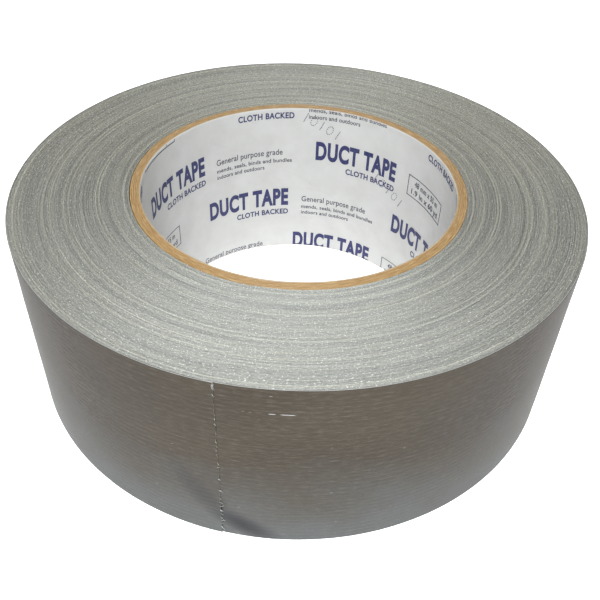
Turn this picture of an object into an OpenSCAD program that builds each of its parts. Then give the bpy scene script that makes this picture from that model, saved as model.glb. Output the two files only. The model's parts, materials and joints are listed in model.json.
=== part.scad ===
// Roll of cloth-backed duct tape on a spirally wound paper core.
// +Z runs along the roll's axis. The origin is on the axis, in the bottom end face.
// The tape is one ribbon, wound counterclockwise seen from above, and its cut end lies on the outside.

/* [Core] */
// Diameter of the hole through the core, the 3 inch standard
core_bore_d = 76.2; // [40:0.1:90]
// Thickness of the white inner ply that carries the printing
liner_t = 0.25; // [0.1:0.05:0.5]
// Thickness of one kraft ply
ply_t = 0.43; // [0.2:0.01:0.8]
// Number of kraft plies glued round the inner ply
ply_count = 5; // [1:1:8]

/* [Tape] */
// Width of the tape, which is also the height of the roll
tape_w = 48; // [12:1:100]
// Thickness of the polyethylene film on the tape's back
film_t = 0.062; // [0.04:0.002:0.12]
// Thickness of the woven scrim under the film
scrim_t = 0.05; // [0.04:0.002:0.1]
// Thickness of the rubber adhesive under the scrim
adhesive_t = 0.06; // [0.04:0.002:0.1]
// Number of turns of tape on the core
turns = 160; // [20:1:200]
// Direction of the tape's cut end, counterclockwise from +X
cut_end_angle = 258; // [0:1:359]

/* [Free end] */
// Number of short stiff lengths that stand for the bending end of the tape
lengths = 10; // [2:1:12]
// Angle round the roll that one length covers
length_angle = 6; // [3:1:7]
// Clearance between the free end and the turn under it
lift_gap = 0.05; // [0.02:0.01:0.1]

/* [Hidden] */
$fn = 180;
tape_t = film_t + scrim_t + adhesive_t;
liner_r = core_bore_d / 2;
core_r = liner_r + liner_t + ply_count * ply_t;
// Distance from the axis to the tape's back at the cut end, where the roll is thickest
roll_r = core_r + turns * tape_t;
// The free end's root, counted like every winding angle from the cut end
free_root = 360 - lengths * length_angle;
// Longer than any radius, so that a wedge cut with it passes right through the wall
reach = 2 * roll_r;

kraft = "#b98d5c";
liner_white = "#e6e3dc";
film_silver = "#8d8982";
wound_grey = "#7f7f78";
scrim_white = "#d9d6cc";
adhesive_grey = "#6f6c66";

// A tube that stands on the roll's bottom face
module tube(inner_r, wall) {
    difference() {
        cylinder(h = tape_w, r = inner_r + wall);
        translate([0, 0, -1])
            cylinder(h = tape_w + 2, r = inner_r);
    }
}

// The area inside one turn of the ribbon, whose outer face is r from the axis at the cut end.
// Two half circles with centres half a ribbon apart make the spiral, so that it grows by one
// ribbon's thickness in a turn. The cut end lies along +X here.
module turn_area(r) {
    quarter = tape_t / 4;
    intersection() {
        translate([-quarter, 0])
            circle(r = r - 3 * quarter);
        translate([-reach, 0])
            square([2 * reach, reach]);
    }
    intersection() {
        translate([quarter, 0])
            circle(r = r - quarter);
        translate([-reach, -reach])
            square([2 * reach, reach]);
    }
}

// One layer of a turn, from outer_r inwards, both counted at the cut end
module layer_area(outer_r, thickness) {
    difference() {
        turn_area(outer_r);
        turn_area(outer_r - thickness);
    }
}

// A wedge of the plane between two winding angles less than 90 degrees apart
module wedge(from, to) {
    middle = (from + to) / 2;
    polygon([
        [0, 0],
        reach * [cos(from), sin(from)],
        reach * [cos(middle), sin(middle)],
        reach * [cos(to), sin(to)]
    ]);
}

// Stands an area up as wide as the tape, with its cut end in the right direction
module as_wide_as_tape() {
    rotate([0, 0, cut_end_angle])
        linear_extrude(height = tape_w)
            children();
}

// A layer of the outermost turn where it is stuck down, up to the root of the free end
module stuck_layer(outer_r, thickness) {
    as_wide_as_tape()
        difference() {
            layer_area(outer_r, thickness);
            wedge(free_root, 360);
        }
}

// A layer of length i of the free end, counted from its root
module free_layer(outer_r, thickness, i) {
    as_wide_as_tape()
        intersection() {
            layer_area(outer_r, thickness);
            wedge(free_root + (i - 1) * length_angle, free_root + i * length_angle);
        }
}

module core_liner() {
    color(liner_white)
        tube(liner_r, liner_t);
}

// Kraft ply i, counted from the inner ply outwards
module core_ply(i) {
    color(kraft)
        tube(liner_r + liner_t + (i - 1) * ply_t, ply_t);
}

// Every turn under the outermost one, relieved under the free end
module wound_tape() {
    color(wound_grey)
        as_wide_as_tape()
            difference() {
                turn_area(roll_r - tape_t);
                circle(r = core_r);
                intersection() {
                    layer_area(roll_r, tape_t + lift_gap);
                    wedge(free_root, 360);
                }
            }
}

module outer_turn_backing() {
    color(film_silver)
        stuck_layer(roll_r, film_t);
}

module outer_turn_scrim() {
    color(scrim_white)
        stuck_layer(roll_r - film_t, scrim_t);
}

module outer_turn_adhesive() {
    color(adhesive_grey)
        stuck_layer(roll_r - film_t - scrim_t, adhesive_t);
}

module free_end_backing(i) {
    color(film_silver)
        free_layer(roll_r, film_t, i);
}

module free_end_scrim(i) {
    color(scrim_white)
        free_layer(roll_r - film_t, scrim_t, i);
}

module free_end_adhesive(i) {
    color(adhesive_grey)
        free_layer(roll_r - film_t - scrim_t, adhesive_t, i);
}

core_liner();
for (i = [1:ply_count])
    core_ply(i);
wound_tape();
outer_turn_backing();
outer_turn_scrim();
outer_turn_adhesive();
for (i = [1:lengths]) {
    free_end_backing(i);
    free_end_scrim(i);
    free_end_adhesive(i);
}
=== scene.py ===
"""The looks of a duct tape roll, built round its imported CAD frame.

Lengths are in metres in the CAD frame: +Z along the roll's axis, the origin in its bottom face.
A place on the ribbon is given by its winding angle, counted counterclockwise from the tape's cut end,
by its depth under the tape's back, and by its height above the roll's bottom face.
"""

import json
import math

import bmesh
import bpy
import numpy as np
from mathutils import Matrix, Vector


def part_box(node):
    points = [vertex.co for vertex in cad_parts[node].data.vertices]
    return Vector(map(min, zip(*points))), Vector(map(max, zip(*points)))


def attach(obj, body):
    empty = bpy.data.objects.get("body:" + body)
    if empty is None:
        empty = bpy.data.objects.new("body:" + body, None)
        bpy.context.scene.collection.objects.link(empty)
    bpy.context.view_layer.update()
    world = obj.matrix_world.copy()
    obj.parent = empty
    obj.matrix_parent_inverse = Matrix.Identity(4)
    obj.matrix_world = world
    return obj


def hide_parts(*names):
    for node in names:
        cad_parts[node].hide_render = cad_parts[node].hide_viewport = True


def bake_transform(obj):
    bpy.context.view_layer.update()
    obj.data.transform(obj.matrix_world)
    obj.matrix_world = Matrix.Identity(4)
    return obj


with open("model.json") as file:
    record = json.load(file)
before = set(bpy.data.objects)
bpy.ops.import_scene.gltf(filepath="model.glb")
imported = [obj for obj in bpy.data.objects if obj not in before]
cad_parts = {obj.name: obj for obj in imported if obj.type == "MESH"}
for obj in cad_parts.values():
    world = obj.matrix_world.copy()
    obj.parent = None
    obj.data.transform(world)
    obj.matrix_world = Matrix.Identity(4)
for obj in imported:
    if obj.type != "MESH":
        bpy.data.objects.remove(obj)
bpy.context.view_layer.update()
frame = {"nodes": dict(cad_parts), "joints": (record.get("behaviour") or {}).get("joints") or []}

MM = 0.001
FULL_TURN = 2 * math.pi

# ---------------------------------------------------------------- sizes, from the frame


def radii_of(node):
    """The smallest and largest distance of a CAD node's vertices from the roll's axis."""
    distances = [math.hypot(v.co.x, v.co.y) for v in frame["nodes"][node].data.vertices]
    return min(distances), max(distances)


TURNS = 160
FILM_SHARE = 0.36  # of the tape's thickness
SCRIM_SHARE = 0.29

joints = frame["joints"]
hinge_angles = [math.atan2(j["pos_m"][1], j["pos_m"][0]) % FULL_TURN for j in joints]
length_angle = hinge_angles[1] - hinge_angles[0]
cut_angle = hinge_angles[-1] + length_angle
free_root = FULL_TURN - len(joints) * length_angle
free_bodies = [j["child"] for j in joints]
ply_count = sum(name.startswith("core_ply") for name in frame["nodes"])

tape_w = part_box("wound_tape")[1].z
liner_r, liner_back_r = radii_of("core_liner")
core_r = radii_of(f"core_ply_{ply_count}")[1]
roll_r = radii_of(f"free_end_backing_{len(joints)}")[1]
tape_t = (roll_r - core_r) / TURNS
film_t = FILM_SHARE * tape_t
scrim_t = SCRIM_SHARE * tape_t

LIFT_GAP = 0.05 * MM  # between the free end and the turn under it

# Spacing of the scrim's yarns
WARP_PITCH = tape_w / 36
WEFT_PITCH = 2.7 * MM


def ribbon_radius(winding, depth):
    """Distance from the axis of a place on the outermost turn."""
    return roll_r - tape_t * (1 - winding / FULL_TURN) - depth


# ---------------------------------------------------------------- random but repeatable shapes


def waves(seed, longest, shortest, count=20):
    """A smooth random function of two lengths, mostly between -1 and 1."""
    rng = np.random.default_rng(seed)
    sizes = np.exp(rng.uniform(math.log(shortest), math.log(longest), count))
    turns = rng.uniform(0, FULL_TURN, count)
    phases = rng.uniform(0, FULL_TURN, count)

    def value(u, v):
        total = 0
        for size, turn, phase in zip(sizes, turns, phases):
            total = total + np.sin(FULL_TURN / size * (u * math.cos(turn) + v * math.sin(turn)) + phase)
        return total / math.sqrt(2 * count)

    return value


# ---------------------------------------------------------------- node materials


class Shader:
    """A node material, built by calls that read like the maths they stand for."""

    def __init__(self, name):
        self.material = bpy.data.materials.new(name)
        self.material.use_nodes = True
        self.nodes = self.material.node_tree.nodes
        self.links = self.material.node_tree.links
        self.surface = self.nodes["Principled BSDF"]

    def wire(self, socket, value):
        if isinstance(value, bpy.types.NodeSocket):
            self.links.new(value, socket)
        elif value is not None:
            socket.default_value = value

    def math(self, operation, a, b=None, c=None):
        node = self.nodes.new("ShaderNodeMath")
        node.operation = operation
        for socket, value in zip(node.inputs, (a, b, c)):
            self.wire(socket, value)
        return node.outputs[0]

    def vector(self, x, y, z):
        node = self.nodes.new("ShaderNodeCombineXYZ")
        for socket, value in zip(node.inputs, (x, y, z)):
            self.wire(socket, value)
        return node.outputs[0]

    def place(self):
        """The object coordinates, which are those of the CAD frame: the vector, and x, y and z."""
        vector = self.nodes.new("ShaderNodeTexCoord").outputs["Object"]
        parts = self.nodes.new("ShaderNodeSeparateXYZ")
        self.links.new(vector, parts.inputs[0])
        return vector, *parts.outputs

    def polar(self):
        """Distance from the axis, share of a turn from the cut end (0 to 1), and height."""
        _, x, y, z = self.place()
        radius = self.math("SQRT", self.math("ADD", self.math("MULTIPLY", x, x), self.math("MULTIPLY", y, y)))
        angle = self.math("ARCTAN2", y, x)
        turns = self.math("ADD", self.math("DIVIDE", angle, FULL_TURN), 2 - cut_angle / FULL_TURN)
        share = self.math("FRACT", turns)
        return radius, share, z

    def ribbon(self):
        """Distance along the outermost turn from its start, height, and 1 where the ribbon lies outermost.

        They are kept on the mesh, so that the material bends with it.
        """
        node = self.nodes.new("ShaderNodeAttribute")
        node.attribute_name = "ribbon"
        parts = self.nodes.new("ShaderNodeSeparateXYZ")
        self.links.new(node.outputs["Vector"], parts.inputs[0])
        return parts.outputs[:3]

    def noise(self, vector, scale, detail=2.0, roughness=0.5):
        node = self.nodes.new("ShaderNodeTexNoise")
        node.noise_dimensions = "3D"
        self.wire(node.inputs["Vector"], vector)
        node.inputs["Scale"].default_value = scale
        node.inputs["Detail"].default_value = detail
        node.inputs["Roughness"].default_value = roughness
        return node.outputs[0]

    def stretched(self, u, v, scales, offset, detail=2.0, roughness=0.5):
        """Noise over two lengths, each with its own scale. Another offset gives another pattern."""
        flat = self.vector(self.math("MULTIPLY", u, scales[0]), self.math("MULTIPLY", v, scales[1]), offset)
        return self.noise(flat, 1.0, detail, roughness)

    def white(self, vector):
        node = self.nodes.new("ShaderNodeTexWhiteNoise")
        node.noise_dimensions = "3D"
        self.wire(node.inputs["Vector"], vector)
        return node.outputs["Value"]

    def spread(self, value, low, high, to_low=0.0, to_high=1.0):
        """Maps low..high to to_low..to_high, clamped."""
        node = self.nodes.new("ShaderNodeMapRange")
        self.wire(node.inputs["Value"], value)
        for name, number in zip(("From Min", "From Max", "To Min", "To Max"), (low, high, to_low, to_high)):
            node.inputs[name].default_value = number
        return node.outputs[0]

    def ramp(self, value, stops):
        """A colour for each (position, colour) stop, blended in between."""
        node = self.nodes.new("ShaderNodeValToRGB")
        elements = node.color_ramp.elements
        while len(elements) < len(stops):
            elements.new(0.5)
        for element, (position, colour) in zip(elements, stops):
            element.position = position
            element.color = (*colour, 1)
        self.wire(node.inputs[0], value)
        return node.outputs[0]

    def mix(self, share, a, b, blend="MIX"):
        node = self.nodes.new("ShaderNodeMix")
        node.data_type = "RGBA"
        node.blend_type = blend
        self.wire(node.inputs[0], share)
        self.wire(node.inputs[6], (*a, 1) if isinstance(a, tuple) else a)
        self.wire(node.inputs[7], (*b, 1) if isinstance(b, tuple) else b)
        return node.outputs[2]

    def bump(self, height, distance, strength=1.0, under=None):
        node = self.nodes.new("ShaderNodeBump")
        node.inputs["Strength"].default_value = strength
        node.inputs["Distance"].default_value = distance
        self.wire(node.inputs["Height"], height)
        if under is not None:
            self.wire(node.inputs["Normal"], under)
        return node.outputs[0]

    def finish(self, **inputs):
        """Sets the surface's inputs; an underscore in a name stands for a space."""
        for name, value in inputs.items():
            self.wire(self.surface.inputs[name.replace("_", " ")], value)
        return self.material


SCRATCH_HEIGHT = 41.5 * MM
SCRATCH_REACH = (3 * MM, 17 * MM)  # past the cut end


def film_material():
    """Aluminium-grey polyethylene over cloth, with ribs that the cross yarns break into dashes."""
    s = Shader("silver_film")
    along, height, outermost = s.ribbon()
    wander = s.stretched(along, height, (55, 160), 9.0)
    warp_phase = s.math("MULTIPLY_ADD", height, FULL_TURN / WARP_PITCH, s.math("MULTIPLY", wander, 4.0))
    weft_phase = s.math("MULTIPLY_ADD", along, FULL_TURN / WEFT_PITCH, s.math("MULTIPLY", wander, 11.0))
    warp = s.math("COSINE", warp_phase)
    weft = s.math("COSINE", weft_phase)
    uneven = s.stretched(along, height, (0.4 / WEFT_PITCH, 1 / WARP_PITCH), 0.0, 4.0, 0.6)
    hairlines = s.stretched(along, height, (420, 2900), 0.0, 4.0, 0.65)
    grain = s.stretched(along, height, (1500, 2600), 0.0, 3.0, 0.7)
    clouds = s.stretched(along, height, (45, 60), 3.0, 3.0)

    crown = s.spread(warp, 0.1, 0.98)
    dash = s.math("MULTIPLY", crown, s.spread(weft, -1.0, 0.7, 0.35, 1.0))
    dash = s.math("MULTIPLY", dash, s.spread(uneven, 0.40, 0.62))
    relief = s.bump(s.math("ADD", s.math("MULTIPLY", crown, 0.4), dash), 0.011 * MM)
    relief = s.bump(grain, 0.035 * MM, 0.7, relief)
    relief = s.bump(hairlines, 0.025 * MM, 0.6, relief)

    colour = s.ramp(clouds, [(0.3, (0.032, 0.021, 0.010)), (0.7, (0.046, 0.033, 0.018))])
    # Painted reflection: toward the bottom edge the film is painted a paler cool grey, standing in for the
    # pale table it reflects there
    painted_reflection_height = s.math("ADD", height, s.math("MULTIPLY", s.math("SUBTRACT", clouds, 0.5), 30 * MM))
    colour = s.mix(s.spread(painted_reflection_height, 0.0, 25 * MM, 1.0, 0.0), colour, (0.082, 0.086, 0.088))
    # Painted highlight: the rib crowns' dashes are painted paler, standing in for the light they catch
    colour = s.mix(s.math("MULTIPLY", dash, 0.10), colour, (0.20, 0.185, 0.165))
    colour = s.mix(s.spread(hairlines, 0.50, 0.72, 0.0, 0.28), colour, (0.20, 0.18, 0.155))
    flecks = s.stretched(along, height, (420, 2600), 7.0, 1.0)
    colour = s.mix(s.spread(flecks, 0.79, 0.82, 0.0, 0.5), colour, (0.60, 0.60, 0.60))
    colour = s.mix(s.math("MULTIPLY", scratch(s, along, height), outermost), colour, (0.85, 0.85, 0.85))
    # Painted shadow: near-black soft patches across the cut end, near the table
    colour = s.mix(s.math("MULTIPLY", painted_shadow(s, along, height), outermost), colour, (0.010, 0.010, 0.014))
    roughness = s.spread(grain, 0.3, 0.7, 0.42, 0.56)
    return s.finish(Base_Color=colour, Metallic=0.80, Roughness=roughness, Normal=relief,
                    Specular_Tint=(0.32, 0.30, 0.27, 1), Coat_Weight=0.52, Coat_Roughness=0.46)


def scratch(s, along, height):
    """A broken scratch past the cut end, where the film has been rubbed white."""
    from_line = s.math("ABSOLUTE", s.math("SUBTRACT", height, SCRATCH_HEIGHT))
    line = s.spread(from_line, 0.02 * MM, 0.12 * MM, 1.0, 0.0)
    near, far = SCRATCH_REACH
    window = s.math("MULTIPLY", s.spread(along, near, near + MM), s.spread(along, far, far + MM, 1.0, 0.0))
    broken = s.spread(s.noise(s.vector(s.math("MULTIPLY", along, 330), 0.0, 1.0), 1.0, 1.0), 0.50, 0.56)
    return s.math("MULTIPLY", s.math("MULTIPLY", line, window), s.math("MULTIPLY", broken, 0.55))


# Painted shadows, soft dark patches across the cut end: distance past it, height, half length, half width,
# tilt in degrees, strength
PAINTED_SHADOWS = (
    (4.5 * MM, 4.4 * MM, 12.0 * MM, 4.2 * MM, -32, 0.95),
    (-4.0 * MM, 13.0 * MM, 14.0 * MM, 4.5 * MM, -52, 0.45),
)


def painted_shadow(s, along, height):
    """How dark a painted shadow makes the film across the cut end, near the table."""
    around = FULL_TURN * roll_r
    past_cut = s.math("MULTIPLY_ADD", along, 1 / around, 0.5)
    past_cut = s.math("SUBTRACT", s.math("FRACT", past_cut), 0.5)
    darkest = None
    for past, up, half_length, half_width, tilt, strength in PAINTED_SHADOWS:
        cos = math.cos(math.radians(tilt))
        sin = math.sin(math.radians(tilt))
        x = s.math("MULTIPLY_ADD", past_cut, around, -past)
        y = s.math("SUBTRACT", height, up)
        lengthwise = s.math("MULTIPLY_ADD", x, cos / half_length, s.math("MULTIPLY", y, sin / half_length))
        sideways = s.math("MULTIPLY_ADD", y, cos / half_width, s.math("MULTIPLY", x, -sin / half_width))
        away = s.math("MULTIPLY_ADD", lengthwise, lengthwise, s.math("MULTIPLY", sideways, sideways))
        near = s.spread(away, 0.0, 1.0, 1.0, 0.0)
        shadow_spot = s.math("MULTIPLY", near, s.math("MULTIPLY", near, strength))
        darkest = shadow_spot if darkest is None else s.math("MAXIMUM", darkest, shadow_spot)
    return darkest


MIDDLE_RADIUS = 54 * MM  # about half way through the wound turns
PALE_TURNS = (41.9, 44.4, 47.5, 48.3, 54.5, 55.4, 58.6, 60.3, 65.3, 66.6)  # mm from the axis
DARK_TURNS = (45.7, 51.6, 56.8, 61.2, 64.0)


def wound_material():
    """The edges of many turns, each a line of film, cloth and adhesive, dashed by the cross yarns."""
    s = Shader("wound_edges")
    radius, share, _ = s.polar()
    wound = s.math("DIVIDE", s.math("SUBTRACT", radius, core_r), tape_t)
    turn = s.math("SUBTRACT", wound, share)
    index = s.math("FLOOR", turn)
    across = s.math("FRACT", turn)
    # Length of ribbon from the core to here
    mean = s.math("MULTIPLY_ADD", wound, tape_t / 2, core_r)
    along = s.math("MULTIPLY", s.math("MULTIPLY", wound, mean), FULL_TURN)

    base, pale, dark = (0.180, 0.171, 0.139), (0.292, 0.277, 0.212), (0.110, 0.106, 0.090)
    from_core = s.math("DIVIDE", s.math("SUBTRACT", radius, core_r), roll_r - core_r)
    colour = s.ramp(from_core, rings(PALE_TURNS, base, pale))
    colour = s.mix(s.ramp(from_core, rings(DARK_TURNS, (0, 0, 0), (0.7, 0.7, 0.7))), colour, dark)

    own = s.white(s.vector(index, 0.0, 0.0))
    around = s.math("MULTIPLY", share, FULL_TURN * MIDDLE_RADIUS)
    drift = s.stretched(around, radius, (16, 3800), 0.0, 3.0, 0.7)
    dashes = s.stretched(around, radius, (1250, 4300), 2.0, 3.0, 0.7)
    specks = s.stretched(around, radius, (2600, 3400), 4.0, 2.0, 0.7)
    crossing = s.math("COSINE", s.math("MULTIPLY", along, FULL_TURN / WEFT_PITCH))
    grain = s.white(s.vector(s.math("FLOOR", s.math("MULTIPLY", along, 1 / (0.28 * MM))), index, 4.0))

    tone = s.math("ADD", s.spread(own, 0, 1, 0.72, 1.20), s.spread(drift, 0.32, 0.68, -0.34, 0.34))
    tone = s.math("ADD", tone, s.spread(dashes, 0.32, 0.68, -0.48, 0.48))
    tone = s.math("ADD", tone, s.math("MULTIPLY_ADD", crossing, 0.12, s.spread(grain, 0, 1, -0.28, 0.28)))
    colour = s.mix(1.0, colour, s.vector(tone, tone, tone), "MULTIPLY")
    colour = s.mix(s.spread(across, 0.60, 0.80, 0.0, 0.30), colour, (0.44, 0.46, 0.47))
    colour = s.mix(s.spread(across, 0.0, 0.16, 0.45, 0.0), colour, (0.09, 0.09, 0.085))
    colour = s.mix(s.spread(specks, 0.60, 0.68, 0.0, 0.80), colour, (0.76, 0.75, 0.68))

    relief = s.bump(drift, 0.30 * MM, 0.7)
    relief = s.bump(dashes, 0.16 * MM, 1.0, relief)
    relief = s.bump(grain, 0.03 * MM, 0.5, relief)
    return s.finish(Base_Color=colour, Roughness=0.28, Normal=relief, Specular_IOR_Level=1.0)


def rings(places, between, on):
    """Ramp stops that paint narrow rings, at places in mm from the axis, over the wound turns."""
    half_width = 0.007
    stops = [(0.0, on), (0.02, between)]
    for place in places:
        at = (place * MM - core_r) / (roll_r - core_r)
        stops += [(at - half_width, between), (at, on), (at + half_width, between)]
    return stops


def kraft_material():
    """Unbleached paper board, with long fibres that lie round the core and darker flecks."""
    s = Shader("kraft_board")
    vector, *_ = s.place()
    radius, share, height = s.polar()
    along = s.math("MULTIPLY", share, FULL_TURN * core_r)
    fibres = s.stretched(along, radius, (350, 4500), s.math("MULTIPLY", height, 1500), 4.0, 0.65)
    mottle = s.noise(vector, 420, 4.0, 0.6)
    flecks = s.spread(s.noise(vector, 2600, 1.0), 0.70, 0.76)
    dark, plain, pale = (0.190, 0.105, 0.033), (0.295, 0.180, 0.070), (0.46, 0.33, 0.17)
    colour = s.ramp(fibres, [(0.30, dark), (0.52, plain), (0.72, pale)])
    colour = s.mix(s.spread(mottle, 0.3, 0.7, 0.0, 0.35), colour, (0.24, 0.132, 0.045))
    colour = s.mix(s.math("MULTIPLY", flecks, 0.6), colour, (0.16, 0.09, 0.04))
    relief = s.bump(fibres, 0.10 * MM, 0.7)
    relief = s.bump(mottle, 0.10 * MM, 0.5, relief)
    return s.finish(Base_Color=colour, Roughness=0.50, Normal=relief, Specular_IOR_Level=0.5)


def liner_material():
    """Bleached paper with a faint grey cast, soft mottling and a fine tooth."""
    s = Shader("white_paper")
    vector, _, _, height = s.place()
    mottle = s.noise(vector, 160, 5.0, 0.6)
    tooth = s.noise(vector, 3500, 3.0, 0.6)
    dirt = s.spread(s.noise(vector, 900, 2.0), 0.70, 0.80)
    colour = s.ramp(mottle, [(0.3, (0.445, 0.434, 0.420)), (0.7, (0.492, 0.483, 0.470))])
    colour = s.mix(s.math("MULTIPLY", dirt, 0.35), colour, (0.45, 0.42, 0.38))
    from_middle = s.math("ABSOLUTE", s.math("SUBTRACT", height, tape_w / 2))
    cut = s.spread(from_middle, tape_w / 2 - 0.15 * MM, tape_w / 2, 0.0, 0.9)
    colour = s.mix(cut, colour, (0.33, 0.23, 0.12))
    relief = s.bump(tooth, 0.03 * MM, 0.5)
    relief = s.bump(mottle, 0.15 * MM, 0.5, relief)
    return s.finish(Base_Color=colour, Roughness=0.75, Normal=relief, Specular_IOR_Level=0.35)


def ink_material(name, ink, paper_shows):
    """Ink on paper, thin where the paper's tooth keeps it off."""
    s = Shader(name)
    vector, *_ = s.place()
    tooth = s.noise(vector, 2200, 3.0, 0.7)
    colour = s.mix(s.spread(tooth, 0.52, 0.68, 0.0, paper_shows), ink, (0.55, 0.545, 0.535))
    return s.finish(Base_Color=colour, Roughness=0.6, Normal=s.bump(tooth, 0.02 * MM, 0.4))


def yarn_material():
    """Undyed cotton and polyester yarn."""
    s = Shader("scrim_yarn")
    vector, *_ = s.place()
    twist = s.noise(vector, 5200, 3.0, 0.7)
    colour = s.ramp(twist, [(0.3, (0.42, 0.41, 0.38)), (0.7, (0.66, 0.66, 0.63))])
    return s.finish(Base_Color=colour, Roughness=0.9, Normal=s.bump(twist, 0.04 * MM, 0.6))


def adhesive_material():
    """Tacky rubber, pressed over the cloth so that its mesh shows through."""
    s = Shader("rubber_adhesive")
    along, height, _ = s.ribbon()
    warp = s.math("COSINE", s.math("MULTIPLY", height, FULL_TURN / WARP_PITCH))
    weft = s.math("COSINE", s.math("MULTIPLY", along, FULL_TURN / WEFT_PITCH))
    mesh = s.math("MAXIMUM", s.spread(warp, 0.5, 0.95), s.spread(weft, 0.8, 0.98))
    blotches = s.stretched(along, height, (220, 220), 0.0, 4.0)
    colour = s.mix(s.math("MULTIPLY", mesh, 0.55), (0.30, 0.295, 0.28), (0.56, 0.55, 0.52))
    colour = s.mix(s.spread(blotches, 0.35, 0.65, 0.0, 0.35), colour, (0.42, 0.41, 0.39))
    relief = s.bump(mesh, 0.05 * MM, 0.6)
    relief = s.bump(blotches, 0.10 * MM, 0.5, relief)
    roughness = s.spread(blotches, 0.3, 0.7, 0.28, 0.5)
    return s.finish(Base_Color=colour, Roughness=roughness, Normal=relief,
                    Coat_Weight=0.3, Coat_Roughness=0.25)


def floor_material():
    """A plain light table with a trace of tooth, which fades to pale grey away from the roll."""
    s = Shader("pale_floor")
    vector, x, y, _ = s.place()
    tooth = s.noise(vector, 700, 2.0)
    reach = s.math("SQRT", s.math("ADD", s.math("MULTIPLY", x, x), s.math("MULTIPLY", y, y)))
    glow = s.spread(reach, 0.5, 1.6, 0.66, 0.20)
    colour = s.ramp(tooth, [(0.3, (0.88, 0.88, 0.88)), (0.7, (0.90, 0.90, 0.90))])
    return s.finish(Base_Color=colour, Roughness=0.8, Specular_IOR_Level=0.2,
                    Emission_Color=(1, 1, 1, 1), Emission_Strength=glow)


FILM = film_material()
WOUND = wound_material()
KRAFT = kraft_material()
LINER = liner_material()
YARN = yarn_material()
ADHESIVE = adhesive_material()
NAVY_INK = ink_material("navy_ink", (0.013, 0.015, 0.085), 0.08)
BLACK_INK = ink_material("black_ink", (0.040, 0.040, 0.060), 0.20)
DOTTED_INK = ink_material("dotted_ink", (0.06, 0.06, 0.09), 0.45)

# ---------------------------------------------------------------- meshes


def piece(name, vertices, faces, material, smooth=True):
    """A mesh object of the object's own, from arrays of points and faces."""
    mesh = bpy.data.meshes.new(name)
    mesh.from_pydata([tuple(v) for v in vertices], [], [tuple(f) for f in faces])
    mesh.validate()
    mesh.materials.append(material)
    if smooth:
        mesh.polygons.foreach_set("use_smooth", [True] * len(mesh.polygons))
    made = bpy.data.objects.new(name, mesh)
    bpy.context.scene.collection.objects.link(made)
    return made


def keep_ribbon_place(made, along, height, outermost=1.0):
    """Stores each vertex's place on the ribbon, for the materials."""
    place = np.stack([along.ravel(), height.ravel(), np.full(height.size, outermost)], -1)
    attribute = made.data.attributes.new("ribbon", "FLOAT_VECTOR", "POINT")
    attribute.data.foreach_set("vector", place.astype(np.float32).ravel())


def on_circle(radius, angle, height):
    """Points at those distances from the axis, angles and heights."""
    return np.stack([radius * np.cos(angle), radius * np.sin(angle), height], -1)


def grid_faces(columns, rows, first=0, wrap=False):
    """Quads between neighbouring columns of a grid whose points run column by column."""
    quads = []
    for c in range(columns if wrap else columns - 1):
        a = first + c * rows
        b = first + (c + 1) % columns * rows
        quads += [(a + r, b + r, b + r + 1, a + r + 1) for r in range(rows - 1)]
    return quads


def ring(name, profile, material, wobble, columns=360):
    """A closed ring from a closed profile of (radius, height) points, listed counterclockwise.

    wobble(angle, radius, height) gives a small change of height for each point.
    """
    angles = np.linspace(0, FULL_TURN, columns, endpoint=False)
    points = []
    for angle in angles:
        for radius, height in profile:
            rise = wobble(angle, radius, height)
            points.append((radius * math.cos(angle), radius * math.sin(angle), height + rise))
    count = len(profile)
    faces = []
    for c in range(columns):
        a, b = c * count, (c + 1) % columns * count
        faces += [(a + k, b + k, b + (k + 1) % count, a + (k + 1) % count) for k in range(count)]
    return piece(name, points, faces, material)


# ---------------------------------------------------------------- the ribbon's outermost turn

swell_shape = waves(3, 60 * MM, 14 * MM, 14)
fine_shape = waves(5, 9 * MM, 3 * MM, 24)
cut_shape = waves(8, 9 * MM, 1.2 * MM, 14)


def lift(along, height):
    """How far the whole ribbon stands off the roll: soft swells, and a small pucker at the cut end."""
    swell = 0.035 * MM * (1 + swell_shape(along, height))
    from_cut = FULL_TURN * roll_r - along
    pucker = 0.22 * MM * np.exp(-((from_cut / (2.2 * MM)) ** 2) - ((height - 8.5 * MM) / (3.5 * MM)) ** 2)
    return np.maximum(swell, 0) + pucker


def film_relief(along, height):
    """The cloth's ribs, pressed through the film."""
    ribs = np.cos(FULL_TURN * height / WARP_PITCH)
    crossings = np.cos(FULL_TURN * along / WEFT_PITCH)
    strength = 0.6 + 0.4 * fine_shape(along, height)
    return (0.010 * ribs + 0.003 * crossings) * strength * MM


def cut_line(height):
    """Winding angle of the tape's cut edge, which a blade left slightly ragged."""
    return FULL_TURN + 0.10 * MM * cut_shape(height, 0 * height) / roll_r


def ribbon_point(winding, depth, height, relief=0.0):
    along = winding * roll_r
    radius = ribbon_radius(winding, depth) + lift(along, height) + relief
    angle = cut_angle + winding
    return on_circle(radius, angle, height + 0 * angle)


SHEET_STEP = 0.9 * MM  # between a sheet's columns
SHEET_ROWS = 109
PROBE = 0.02 * MM  # how far off a slope is measured


def sheet_skin(winding, depth, height, outward, textured):
    """The points and normals of one face of a sheet; a textured one has the cloth's relief."""
    def skin(w, h):
        relief = outward * film_relief(w * roll_r, h) if textured else 0 * w
        return ribbon_point(w, depth, h, relief)

    here = skin(winding, height)
    on = skin(winding + PROBE / roll_r, height)
    up = skin(winding, height + PROBE)
    normal = np.cross(on - here, up - here)
    normal /= np.linalg.norm(normal, axis=-1, keepdims=True)
    return here.reshape(-1, 3), (normal * outward).reshape(-1, 3)


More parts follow.
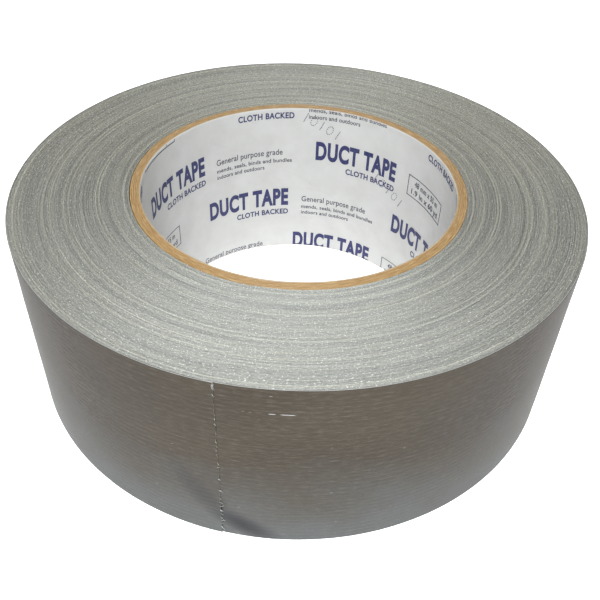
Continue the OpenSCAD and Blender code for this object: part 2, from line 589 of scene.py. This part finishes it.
def sheet_of_ribbon(name, start, end, depth, thickness, material, slot, textured_side):
    """A stretch of one layer of the outermost turn as a closed sheet.

    textured_side is 1 if the cloth shows in the face away from the axis, and -1 if in the other.
    """
    columns = max(2, round((end - start) * roll_r / SHEET_STEP) + 1)
    rows = SHEET_ROWS
    windings = np.linspace(start, end, columns)
    heights = np.linspace(0, tape_w, rows)
    w, h = np.meshgrid(windings, heights, indexing="ij")
    if end >= FULL_TURN:
        w = w + (cut_line(h) - FULL_TURN) * (w - start) / (end - start)
    faces = []
    points = []
    normals = []
    for at, outward in ((depth, 1), (depth + thickness, -1)):
        skin_points, skin_normals = sheet_skin(w, at, h, outward, textured_side == outward)
        points.append(skin_points)
        normals.append(skin_normals)
        quads = grid_faces(columns, rows, (len(points) - 1) * columns * rows)
        faces += quads if outward > 0 else [q[::-1] for q in quads]
    back = columns * rows
    skin_faces = len(faces)
    for c in range(columns - 1):
        for row, flip in ((0, False), (rows - 1, True)):
            a, b = c * rows + row, (c + 1) * rows + row
            quad = (a, back + a, back + b, b)
            faces.append(quad[::-1] if flip else quad)
    for column, flip in ((0, False), (columns - 1, True)):
        for r in range(rows - 1):
            a = column * rows + r
            quad = (a, a + 1, back + a + 1, back + a)
            faces.append(quad[::-1] if flip else quad)
    made = piece(name, np.concatenate(points), faces, material)
    set_skin_normals(made.data, np.concatenate(normals), skin_faces)
    keep_ribbon_place(made, np.stack([w, w]) * roll_r, np.stack([h, h]))
    return made


def set_skin_normals(mesh, normals, skin_faces):
    """Gives a mesh's first faces the true normals of their vertices, and leaves its edges flat."""
    vertex_of = np.empty(len(mesh.loops), int)
    mesh.loops.foreach_get("vertex_index", vertex_of)
    loops = normals[vertex_of]
    for polygon in mesh.polygons[skin_faces:]:
        loops[polygon.loop_start:polygon.loop_start + polygon.loop_total] = polygon.normal
    mesh.normals_split_custom_set(loops)


def yarn_mesh(paths, half_width, half_thickness):
    """Flat yarns as square tubes along lists of (centre, outward normal) pairs."""
    points, faces = [], []
    for centres, outward in paths:
        centres = np.asarray(centres)
        along = np.gradient(centres, axis=0)
        along /= np.linalg.norm(along, axis=1, keepdims=True)
        side = np.cross(outward, along)
        first = len(points)
        for centre, out, across in zip(centres, outward, side):
            for a, b in ((-1, -1), (1, -1), (1, 1), (-1, 1)):
                points.append(centre + a * half_width * across + b * half_thickness * out)
        for k in range(len(centres) - 1):
            a, b = first + 4 * k, first + 4 * (k + 1)
            faces += [(a + c, a + (c + 1) % 4, b + (c + 1) % 4, b + c) for c in range(4)]
        end = first + 4 * (len(centres) - 1)
        faces += [(first + 3, first + 2, first + 1, first), (end, end + 1, end + 2, end + 3)]
    return points, faces


YARN_STEP = 1.0 * MM  # between the points of a warp yarn
WEFT_POINTS = 37
WEFT_INSET = 0.1 * MM  # of the weft's ends from the ribbon's edges
YARN_HALF_WIDTH = 0.14 * MM


def scrim_of_ribbon(name, start, end):
    """The warp and weft yarns of a stretch of the outermost turn."""
    depth = film_t + scrim_t / 2
    paths = []
    columns = max(3, round((end - start) * roll_r / YARN_STEP) + 1)
    for k in range(round(tape_w / WARP_PITCH)):
        windings = np.linspace(start, end, columns)
        heights = np.full(columns, (k + 0.5) * WARP_PITCH)
        paths.append((ribbon_point(windings, depth, heights), outward_of(windings)))
    first = math.ceil(start * roll_r / WEFT_PITCH)
    last = math.floor(end * roll_r / WEFT_PITCH)
    for k in range(first, last + 1):
        heights = np.linspace(WEFT_INSET, tape_w - WEFT_INSET, WEFT_POINTS)
        windings = np.full(WEFT_POINTS, k * WEFT_PITCH / roll_r)
        paths.append((ribbon_point(windings, depth, heights), outward_of(windings)))
    points, faces = yarn_mesh(paths, YARN_HALF_WIDTH, 0.4 * scrim_t)
    return piece(name, points, faces, YARN)


def outward_of(windings):
    angles = cut_angle + windings
    return on_circle(1, angles, 0 * angles)


HAIR_SIDES = 5
HAIR_STEPS = 5
WORN_BELOW = 16 * MM  # the lower end of the cut edge is frayed more
UP = np.array([0, 0, 1.0])


class Fray:
    """Collects broken yarn ends that stick out of the cut edge."""

    def __init__(self):
        self.points, self.faces = [], []

    def hair(self, height, length, thickness, rise, outward, droop):
        """One tapering hair that starts just inside the edge, rises or falls and bends outward."""
        first = len(self.points)
        for t in np.linspace(0, 1, HAIR_STEPS):
            height_t = height + rise * t * t * length + droop * math.sin(3 * t) * 0.1 * MM
            winding = float(cut_line(np.array(height))) + (t * length - 0.15 * MM) / roll_r
            stand_off = float(lift(FULL_TURN * roll_r, np.array(height)))
            radius = ribbon_radius(FULL_TURN, 0.6 * film_t) + stand_off
            radius += outward * length * t * t
            angle = cut_angle + winding
            centre = np.array([radius * math.cos(angle), radius * math.sin(angle), height_t])
            out = np.array([math.cos(angle), math.sin(angle), 0])
            size = thickness * (1 - 0.6 * t)
            for side in range(HAIR_SIDES):
                a = side * FULL_TURN / HAIR_SIDES
                self.points.append(centre + size * (math.cos(a) * out + math.sin(a) * UP))
        self.close_hair(first)

    def close_hair(self, first):
        """Skins the hair whose points start at first."""
        n = HAIR_SIDES
        for k in range(HAIR_STEPS - 1):
            a, b = first + n * k, first + n * (k + 1)
            self.faces += [(a + c, b + c, b + (c + 1) % n, a + (c + 1) % n) for c in range(n)]
        self.faces.append(tuple(first + n * (HAIR_STEPS - 1) + c for c in range(n)))
        self.faces.append(tuple(first + n - 1 - c for c in range(n)))


def frayed_ends():
    """Broken yarn ends along the cut edge, with a tuft at its top corner."""
    rng = np.random.default_rng(12)
    fray = Fray()
    for k in range(round(tape_w / WARP_PITCH)):
        height = (k + 0.5) * WARP_PITCH
        likely, longest = (0.95, 1.1) if height < WORN_BELOW else (0.55, 0.6)
        if rng.random() >= likely:
            continue
        length = rng.uniform(0.25, longest) * MM
        thickness = rng.uniform(0.03, 0.06) * MM
        rise, outward, droop = rng.uniform(-0.9, 0.9), rng.uniform(0.05, 0.5), rng.uniform(-1, 1)
        fray.hair(height, length, thickness, rise, outward, droop)
        if rng.random() < 0.5:
            rise, outward, droop = rng.uniform(-1.5, 1.5), rng.uniform(0.1, 0.8), rng.uniform(-1, 1)
            fray.hair(height + 0.25 * MM, 0.7 * length, 0.04 * MM, rise, outward, droop)
    for _ in range(7):
        height = tape_w - rng.uniform(0.1, 1.6) * MM
        length = rng.uniform(0.3, 0.8) * MM
        rise, outward = rng.uniform(-0.6, 0.2), rng.uniform(0.1, 0.5)
        fray.hair(height, length, 0.045 * MM, rise, outward, 0.5)
    return piece("frayed_yarn_ends", fray.points, fray.faces, YARN)


# ---------------------------------------------------------------- the turns under it

PER_TURN = 288  # columns in a turn of the wound faces
GROOVE_DEPTH = 0.072 * MM
FACE_DROP = 0.07 * MM  # the wound edges lie a little behind the outermost turn's
MEETING_LENGTH = 4 * MM  # over which the turn below comes up to the outermost one
wound_turns = TURNS - 1
turn_group = waves(31, 5.5 * MM, 0.9 * MM, 18)
turn_drift = waves(32, 160 * MM, 30 * MM, 12)


def turn_rise(along, radius):
    """How far a turn's edge stands above the roll's face: groups of turns differ, and each one drifts."""
    return (0.045 * turn_group(radius, 0 * radius) + 0.030 * turn_drift(along, radius * 40)) * MM


def wound_face(name, top):
    """One end face of the wound turns: the ribbon's own edge as a ridge, with a groove to the next turn."""
    steps = wound_turns * PER_TURN + 1
    along = np.arange(steps + PER_TURN) / PER_TURN
    angle = cut_angle + FULL_TURN * along
    sign = 1 if top else -1
    face = tape_w - FACE_DROP if top else FACE_DROP
    groove_radius = core_r + tape_t * along
    around = along * FULL_TURN * MIDDLE_RADIUS
    groove_rise = turn_rise(around, groove_radius) - GROOVE_DEPTH
    ridge_radius = groove_radius[:steps] + 0.5 * tape_t
    ridge_rise = turn_rise(around[:steps], ridge_radius)
    jitter = np.random.default_rng(40 + top).normal(0, 0.008 * MM, steps)
    groove = on_circle(groove_radius, angle, face + sign * groove_rise)
    ridge = on_circle(ridge_radius, angle[:steps], face + sign * (ridge_rise + jitter))
    count = len(groove)
    faces = []
    for j in range(steps - 1):
        faces.append((j, count + j, count + j + 1, j + 1))
        faces.append((count + j, j + PER_TURN, j + PER_TURN + 1, count + j + 1))
    if not top:
        faces = [f[::-1] for f in faces]
    return piece(name, np.concatenate([groove, ridge]), faces, WOUND, smooth=False)


def wound_wall():
    """The back of the turn under the outermost one, which shows when the free end is lifted."""
    dense_from = free_root - 0.05
    under_free_end = np.linspace(dense_from, FULL_TURN, 120)
    elsewhere = np.linspace(0, dense_from, 150)[:-1]
    windings = np.concatenate([elsewhere, under_free_end])
    heights = np.linspace(0, tape_w, 181)
    w, h = np.meshgrid(windings, heights, indexing="ij")
    # It comes up to meet the outermost turn where the free end's cut edge lies
    to_end = (FULL_TURN - w) * roll_r
    clearance = LIFT_GAP * np.clip(to_end / MEETING_LENGTH, 0, 1)
    rise = lift(0 * w, h) * np.clip(1 - to_end / MEETING_LENGTH, 0, 1)
    radius = ribbon_radius(w, tape_t + clearance) + rise + film_relief(-to_end, h)
    points = on_circle(radius, cut_angle + w, h).reshape(-1, 3)
    made = piece("wound_tape_back", points, grid_faces(len(windings), len(heights)), FILM)
    keep_ribbon_place(made, -to_end, h, outermost=0.0)
    return made


# ---------------------------------------------------------------- core

ply_wave = waves(51, 40 * MM, 5 * MM, 16)


def kraft_ply(index):
    """One kraft ply, with corners worn round and an edge that the slitting knife left a little uneven."""
    inner, outer = radii_of(f"core_ply_{index}")
    worn, dip = 0.07 * MM, 0.02 * MM
    top = tape_w
    profile = [(inner, worn), (inner + worn, 0), (outer - worn, 0), (outer, worn),
               (outer, top - worn), (outer - worn, top - dip), ((inner + outer) / 2, top),
               (inner + worn, top - dip), (inner, top - worn)]

    def wobble(angle, radius, height):
        if height < top / 2:
            return 0
        return 0.05 * MM * float(ply_wave(angle * core_r, index * 9 * MM)) - 0.03 * MM

    made = ring(f"kraft_ply_{index}", profile, KRAFT, wobble)
    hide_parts(f"core_ply_{index}")
    return made


SEAM_SLOPE = math.tan(math.radians(30))
SEAM_ANGLE = math.radians(150)  # where the seam meets the top edge


def seam_distance(angle, height):
    """Height above the liner's seam, which runs down to the right as a helix seen from inside."""
    drop = ((SEAM_ANGLE - angle) % FULL_TURN) * liner_r * SEAM_SLOPE
    pitch = FULL_TURN * liner_r * SEAM_SLOPE
    away = (height - (tape_w - drop)) % pitch
    return np.where(away > pitch / 2, away - pitch, away)


liner_wave = waves(61, 45 * MM, 12 * MM, 14)


def liner():
    """The printed inner ply: slightly uneven paper, with the butt seam of its helical strip."""
    columns, rows = 480, 97
    angles = np.linspace(0, FULL_TURN, columns, endpoint=False)
    heights = np.linspace(0, tape_w, rows)
    a, h = np.meshgrid(angles, heights, indexing="ij")
    uneven = 0.04 * MM * liner_wave(liner_r * np.cos(a), h + liner_r * np.sin(a))
    seam = 0.10 * MM * np.exp(-((seam_distance(a, h) / (0.25 * MM)) ** 2))
    inner = liner_r + np.clip(uneven + seam, 0, 0.15 * MM)
    rounding = 0.08 * MM
    inner = inner + 0.06 * MM * (np.exp(-((tape_w - h) / rounding)) + np.exp(-(h / rounding)))
    points = on_circle(inner, a, h).reshape(-1, 3)
    faces = [f[::-1] for f in grid_faces(columns, rows, wrap=True)]
    back = [(liner_back_r * math.cos(t), liner_back_r * math.sin(t), z)
            for t in angles for z in (0, tape_w)]
    first = len(points)
    points = np.concatenate([points, np.array(back)])
    for c in range(columns):
        n = (c + 1) % columns
        low, high, low_n, high_n = c * rows, c * rows + rows - 1, n * rows, n * rows + rows - 1
        b, bn = first + 2 * c, first + 2 * n
        faces += [(low, low_n, bn, b), (high, b + 1, bn + 1, high_n), (b, bn, bn + 1, b + 1)]
    made = piece("printed_liner", points, faces, LINER)
    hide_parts("core_liner")
    return made


# ---------------------------------------------------------------- print on the liner

PRINT_LIFT = 0.03 * MM
PRINT_MARGIN = 0.2 * MM  # from the liner's cut edges
BEND_STEP = 1.2 * MM  # artwork is cut this often so that it can follow the curve


def flat_text(body, width, cap_height, weight):
    """Generic lettering as a bmesh in the XY plane, its first baseline's start at the origin.

    It is fitted to a width and a height of capitals; weight thickens the strokes.
    """
    curve = bpy.data.curves.new("lettering", "FONT")
    curve.body = body
    curve.size = 1.4 * cap_height
    curve.offset = weight
    curve.space_character = 1 + 1.5 * weight / cap_height
    holder = bpy.data.objects.new("lettering", curve)
    bpy.context.scene.collection.objects.link(holder)
    bpy.context.view_layer.update()
    mesh = bpy.data.meshes.new_from_object(holder.evaluated_get(bpy.context.evaluated_depsgraph_get()))
    bpy.data.objects.remove(holder)
    bpy.data.curves.remove(curve)
    made = bmesh.new()
    made.from_mesh(mesh)
    bpy.data.meshes.remove(mesh)
    left = min(v.co.x for v in made.verts)
    right = max(v.co.x for v in made.verts)
    bmesh.ops.translate(made, vec=(-left, 0, 0), verts=made.verts)
    bmesh.ops.scale(made, vec=(width / (right - left), 1, 1), verts=made.verts)
    return made


def flat_bar(x0, y0, x1, y1):
    """A filled rectangle in the XY plane."""
    made = bmesh.new()
    made.faces.new([made.verts.new(p) for p in ((x0, y0, 0), (x1, y0, 0), (x1, y1, 0), (x0, y1, 0))])
    return made


def width_of(flat):
    return max(v.co.x for v in flat.verts) - min(v.co.x for v in flat.verts)


def cut(flat, place, normal, clear_outer=False):
    """Cuts artwork along a plane, and drops what lies beyond it if clear_outer is true."""
    everything = flat.verts[:] + flat.edges[:] + flat.faces[:]
    bmesh.ops.bisect_plane(flat, geom=everything, plane_co=place, plane_no=normal, clear_outer=clear_outer)


class Print:
    """Collects flat artwork and rolls it onto the inside of the liner."""

    def __init__(self, name, material):
        self.name, self.material = name, material
        self.points, self.faces = [], []

    def add(self, flat, angle, height, dx=0.0, dy=0.0):
        """Puts artwork with its origin at that angle and height, moved by dx and dy in the sheet."""
        bmesh.ops.translate(flat, vec=(dx, dy, 0), verts=flat.verts)
        bottom, top = -height, tape_w - height
        for edge, outward in ((bottom + PRINT_MARGIN, -1), (top - PRINT_MARGIN, 1)):
            cut(flat, (0, edge, 0), (0, outward, 0), clear_outer=True)
        if not flat.verts:
            flat.free()
            return
        left = min(v.co.x for v in flat.verts)
        for k in range(1, int(width_of(flat) / BEND_STEP) + 1):
            cut(flat, (left + k * BEND_STEP, 0, 0), (1, 0, 0))
        radius = liner_r - PRINT_LIFT
        first = len(self.points)
        flat.verts.index_update()
        for v in flat.verts:
            a = angle - v.co.x / liner_r
            self.points.append((radius * math.cos(a), radius * math.sin(a), height + v.co.y))
        self.faces += [tuple(first + v.index for v in f.verts) for f in flat.faces]
        flat.free()

    def finish(self):
        made = piece(self.name, self.points, self.faces, self.material, smooth=False)
        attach(made, "roll")


ROW_PITCH = 16.3 * MM
TOP_ROW = 34.9 * MM  # height of the first whole row's centre
# Where a word starts in each row, in degrees, from the row that the top edge cuts
ROW_STARTS = (41.5, 83.2, 43.4, 92.3)
WORD_WIDTH = 25.6 * MM
# Text, with its width, height and drop in mm
SMALL_PRINT = (
    ("General purpose grade", 20.4, 1.9, -1.7),
    ("mends, seals, binds and bundles", 23.2, 1.3, -4.2),
    ("indoors and outdoors", 15.0, 1.3, -6.3),
)


def print_liner():
    """Rows of a plain name for what the roll is, then in turn its size in a box or lines of small print."""
    words = Print("print_words", NAVY_INK)
    small = Print("print_small", BLACK_INK)
    for row, start in enumerate(ROW_STARTS):
        height = TOP_ROW + (1 - row) * ROW_PITCH
        for k in range(4):
            angle = math.radians(start + 90 * k)
            word = flat_text("DUCT TAPE", WORD_WIDTH, 5.6 * MM, 0.37 * MM)
            words.add(word, angle, height, 0, -2.8 * MM)
            line_width = 16.3 * MM
            line = flat_text("CLOTH BACKED", line_width, 1.8 * MM, 0.08 * MM)
            words.add(line, angle, height, WORD_WIDTH - line_width, -6.3 * MM)
            beside = WORD_WIDTH + 4.1 * MM
            if k % 2:
                for text, width, tall, drop in SMALL_PRINT:
                    flat = flat_text(text, width * MM, tall * MM, 0.03 * MM)
                    small.add(flat, angle, height, beside, drop * MM)
            else:
                boxed_size(small, angle, height, beside + 0.8 * MM)
    words.finish()
    small.finish()


def boxed_size(target, angle, height, left):
    """The tape's width and length in a thin frame."""
    width, tall, line = 16.9 * MM, 6.5 * MM, 0.28 * MM
    bottom = -4.3 * MM
    bars = ((0, 0, width, line), (0, tall - line, width, tall),
            (0, line, line, tall - line), (width - line, line, width, tall - line))
    for bar in bars:
        target.add(flat_bar(*bar), angle, height, left, bottom)
    for text, share, drop in (("48 mm x 55 m", 0.68, 3.8), ("1.9 in x 60 yd", 0.80, 1.1)):
        flat = flat_text(text, share * width, 1.7 * MM, 0.06 * MM)
        target.add(flat, angle, height, left + (1 - share) / 2 * width, bottom + drop * MM)


def dotted_code():
    """A generic row of noughts and ones, jetted along the strip in dots before it was wound."""
    code = Print("print_dots", DOTTED_INK)
    slope = -math.atan(SEAM_SLOPE) + math.radians(4)
    c, s = math.cos(slope), math.sin(slope)
    for start, height in ((math.radians(88), 45.2 * MM), (math.radians(54.5), 30.7 * MM)):
        for k, digit in enumerate("10101"):
            for t in range(12 if digit == "0" else 7):
                turn = t * FULL_TURN / 12
                x = 2.6 * k + (0.85 * math.cos(turn) if digit == "0" else 0)
                y = 1.35 * math.sin(turn) if digit == "0" else -1.35 + t * 0.45
                dot = bmesh.new()
                bmesh.ops.create_circle(dot, cap_ends=True, segments=8, radius=0.17 * MM)
                code.add(dot, start, height, (x * c - y * s) * MM, (x * s + y * c) * MM)
    code.finish()


# ---------------------------------------------------------------- put the roll together

for top in (True, False):
    face = wound_face("wound_face_top" if top else "wound_face_bottom", top)
    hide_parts("wound_tape")
    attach(face, "roll")
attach(wound_wall(), "roll")

for index in range(1, ply_count + 1):
    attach(kraft_ply(index), "roll")
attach(liner(), "roll")
print_liner()
dotted_code()

SHEETS = {
    "backing": dict(depth=0.0, thickness=film_t, material=FILM, slot="film", textured_side=1),
    "adhesive": dict(depth=film_t + scrim_t, thickness=tape_t - film_t - scrim_t,
                     material=ADHESIVE, slot="adhesive", textured_side=-1),
}


def layer_piece(layer, name, start, end):
    if layer == "scrim":
        return scrim_of_ribbon(name, start, end)
    return sheet_of_ribbon(name, start, end, **SHEETS[layer])


def middle_of(index):
    """Winding angle half way along a length of the free end."""
    return free_root + (index + 0.5) * length_angle


for layer in ("backing", "scrim", "adhesive"):
    stuck = layer_piece(layer, f"outer_{layer}", 0.0, free_root)
    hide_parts(f"outer_turn_{layer}")
    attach(stuck, "roll")
    for index, body in enumerate(free_bodies):
        start, end = middle_of(index - 1) if index else free_root, middle_of(index)
        bend = layer_piece(layer, f"free_{layer}_{index + 1}", start, end)
        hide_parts(f"free_end_{layer}_{index + 1}")
        ends = [Vector(ribbon_point(np.array(w), 0.0, np.array(tape_w / 2))) for w in (start, end)]
        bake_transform(bend)
    tip = layer_piece(layer, f"free_{layer}_tip", middle_of(len(joints) - 1), FULL_TURN)
    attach(tip, free_bodies[-1])

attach(frayed_ends(), free_bodies[-1])

# ---------------------------------------------------------------- studio


def floor():
    """A round pale floor that sweeps up into a low backdrop on every side."""
    reach, sweep, wall_top = 2.0, 0.6, 1.5
    bend = np.linspace(0, math.pi / 2, 9)
    profile = [(0.2 * k, 0.0) for k in range(1, 10)]
    profile += [(reach + sweep * math.sin(t), sweep * (1 - math.cos(t))) for t in bend]
    profile.append((reach + sweep, wall_top))
    columns = 96
    points = [(0, 0, 0)]
    for t in np.linspace(0, FULL_TURN, columns, endpoint=False):
        points += [(r * math.cos(t), r * math.sin(t), z) for r, z in profile]
    rows = len(profile)
    faces = [(0, 1 + c * rows, 1 + (c + 1) % columns * rows) for c in range(columns)]
    faces += [quad[::-1] for quad in grid_faces(columns, rows, 1, wrap=True)]
    mesh = bpy.data.meshes.new("floor")
    mesh.from_pydata(points, [], faces)
    mesh.materials.append(floor_material())
    mesh.polygons.foreach_set("use_smooth", [True] * len(mesh.polygons))
    made = bpy.data.objects.new("floor", mesh)
    bpy.context.scene.collection.objects.link(made)
    made.location.z = -0.05 * MM


def soft_light(name, place, size, power, colour):
    """A rectangular lamp that faces the middle of the roll."""
    light = bpy.data.lights.new(name, "AREA")
    light.shape = "RECTANGLE"
    light.size, light.size_y = size
    light.energy = power
    light.color = colour
    made = bpy.data.objects.new(name, light)
    made.location = place
    made.rotation_mode = "QUATERNION"
    aim = Vector((0, 0, tape_w / 2))
    made.rotation_quaternion = (aim - Vector(place)).to_track_quat("-Z", "Y")
    made.visible_camera = False
    bpy.context.scene.collection.objects.link(made)


def pale_world(strength):
    world = bpy.data.worlds.new("studio")
    world.use_nodes = True
    background = world.node_tree.nodes["Background"]
    background.inputs[0].default_value = (1.0, 1.0, 1.0, 1)
    background.inputs[1].default_value = strength
    bpy.context.scene.world = world


def turned(a, b, angle):
    """Two axes at right angles, turned in their plane so that the first one moves towards the second."""
    return a * math.cos(angle) + b * math.sin(angle), b * math.cos(angle) - a * math.sin(angle)


def camera():
    """A close camera above the front of the roll, tilted a little, as a hand-held one is."""
    distance = 0.1967
    elevation = math.radians(38.11)
    yaw, pitch, roll = math.radians(0.36), math.radians(-3.15), math.radians(-1.96)
    focal_share = 743.5 / 600  # focal length over the width of the frame
    forward = Vector((0, math.cos(elevation), -math.sin(elevation)))
    right = Vector((1, 0, 0))
    up = right.cross(forward)
    place = Vector((0, 0, tape_w / 2)) - distance * forward
    forward, right = turned(forward, right, yaw)
    forward, up = turned(forward, up, pitch)
    right, up = turned(right, up, -roll)
    data = bpy.data.cameras.new("camera")
    data.sensor_width = 36
    data.lens = 36 * focal_share
    data.clip_start, data.clip_end = 0.01, 50
    made = bpy.data.objects.new("camera", data)
    axes = Matrix((right, up, -forward)).transposed()
    made.matrix_world = Matrix.Translation(place) @ axes.to_4x4()
    bpy.context.scene.collection.objects.link(made)
    bpy.context.scene.camera = made


floor()
pale_world(0.12)
soft_light("key", (-0.02, -0.20, 0.31), (0.17, 0.13), 1.95, (0.93, 0.98, 1.0))
soft_light("back", (0.03, 0.55, 0.62), (0.30, 0.25), 1.5, (0.95, 0.96, 1.0))
camera()
bpy.context.scene.view_settings.view_transform = "Standard"
bpy.context.scene.view_settings.look = "None"

bpy.context.view_layer.update()
